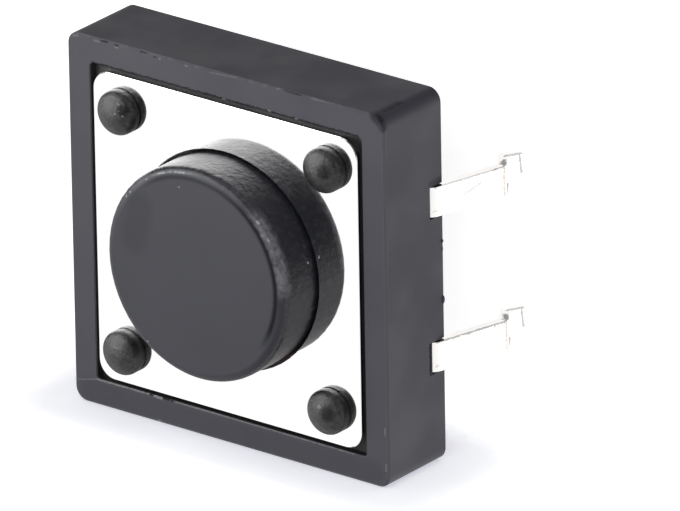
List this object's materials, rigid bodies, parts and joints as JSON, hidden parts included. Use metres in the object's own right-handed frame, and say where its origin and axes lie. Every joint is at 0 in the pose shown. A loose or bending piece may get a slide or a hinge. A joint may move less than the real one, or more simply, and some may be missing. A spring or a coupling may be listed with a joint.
{
  "type": "tactile switch",
  "caption": "Square through-hole tactile push switch with a round plunger, metal cover plate, formed post heads and bent solder legs.",
  "frame": {"origin": "centre of the housing's underside, the face that sits on the circuit board", "axes": "+Z the way the plunger stands out, X across the two rows of legs, Y along each row"},
  "size_m": [0.0134, 0.012, 0.008],
  "materials": {
    "black_plastic": "moulded, satin",
    "polished_plate": "mirror polished",
    "plunger_plastic": "moulded, satin",
    "spring_metal": "rolled",
    "tinned_brass": "bright tin plated"
  },
  "bodies": {
    "base": {"housing": "black_plastic", "cover_plate": "polished_plate", "snap_dome": "spring_metal", "ring_strip": "tinned_brass", "centre_strip": "tinned_brass"},
    "button": {"plunger": "plunger_plastic"}
  },
  "joints": [
    {"name": "plunger_press", "type": "slide", "parent": "base", "child": "button", "axis": [0, 0, -1], "range_m": [0, 0.0003], "stiffness_N_per_m": 8000, "deforming": ["snap_dome"]}
  ]
}
